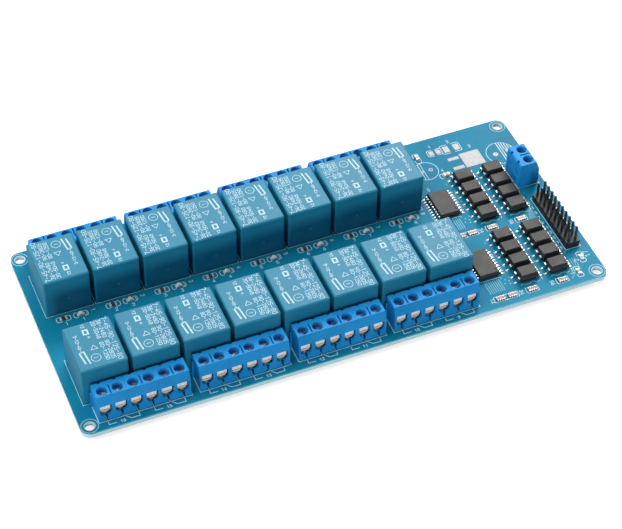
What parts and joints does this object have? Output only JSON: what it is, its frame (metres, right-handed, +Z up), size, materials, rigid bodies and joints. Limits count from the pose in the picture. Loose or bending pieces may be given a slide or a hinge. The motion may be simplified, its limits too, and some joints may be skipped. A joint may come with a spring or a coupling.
{
  "type": "relay module board",
  "caption": "Circuit board with two rows of sealed relays, screw terminals along both long edges, and a control end with optocouplers, driver chips, a pin header and a supply terminal.",
  "frame": {"origin": "middle of the four mounting holes, on the underside of the board", "axes": "+X along the board from the relay end to the control end, +Y across the board towards the row with the supply terminal, +Z up through the component side"},
  "size_m": [0.182, 0.0814, 0.0186],
  "materials": {
    "board": "glass-epoxy board with a glossy solder mask",
    "relay_case": "moulded case, satin",
    "pin_metal": "tinned copper",
    "terminal_plastic": "moulded housing, satin",
    "cage_metal": "nickel-plated",
    "contact_metal": "bare brass",
    "screw_metal": "zinc-plated",
    "header_plastic": "moulded",
    "header_metal": "plated pins",
    "chip_plastic": "moulded epoxy",
    "lead_metal": "tin-plated",
    "resistor_body": "glazed",
    "lamp_body": "moulded",
    "lamp_lens": "milky resin",
    "capacitor_body": "ceramic",
    "solder": "bright solder"
  },
  "bodies": {
    "root": {"circuit_board": "board", "relay_01": "relay_case", "relay_02": "relay_case", "relay_03": "relay_case", "relay_04": "relay_case", "relay_05": "relay_case", "relay_06": "relay_case", "relay_07": "relay_case", "relay_08": "relay_case", "relay_09": "relay_case", "relay_10": "relay_case", "relay_11": "relay_case", "relay_12": "relay_case", "relay_13": "relay_case", "relay_14": "relay_case", "relay_15": "relay_case", "relay_16": "relay_case", "relay_pins_back": "pin_metal", "relay_pins_front": "pin_metal", "back_terminal_1": "terminal_plastic", "back_terminal_2": "terminal_plastic", "back_terminal_3": "terminal_plastic", "back_terminal_4": "terminal_plastic", "front_terminal_1": "terminal_plastic", "front_terminal_2": "terminal_plastic", "front_terminal_3": "terminal_plastic", "front_terminal_4": "terminal_plastic", "power_terminal": "terminal_plastic", "clamp_cages_back": "cage_metal", "clamp_cages_front": "cage_metal", "clamp_cages_power": "cage_metal", "clamp_contacts_back": "contact_metal", "clamp_contacts_front": "contact_metal", "clamp_contacts_power": "contact_metal", "clamp_screws_back": "screw_metal", "clamp_screws_front": "screw_metal", "clamp_screws_power": "screw_metal", "header_base": "header_plastic", "header_pins": "header_metal", "driver_chip_back": "chip_plastic", "driver_chip_front": "chip_plastic", "driver_leads_back": "lead_metal", "driver_leads_front": "lead_metal", "optocouplers_back": "chip_plastic", "optocouplers_front": "chip_plastic", "opto_leads_back": "lead_metal", "opto_leads_front": "lead_metal", "resistor_arrays": "resistor_body", "resistor_array_ends": "lead_metal", "chip_resistors": "resistor_body", "chip_resistor_ends": "lead_metal", "lamp_bases": "lamp_body", "lamp_ends": "contact_metal", "lamp_lenses": "lamp_lens", "chip_capacitors": "capacitor_body", "chip_capacitor_ends": "lead_metal", "solder_joints_relays": "solder", "solder_joints_terminals": "solder", "solder_joints_header": "solder"}
  },
  "joints": []
}
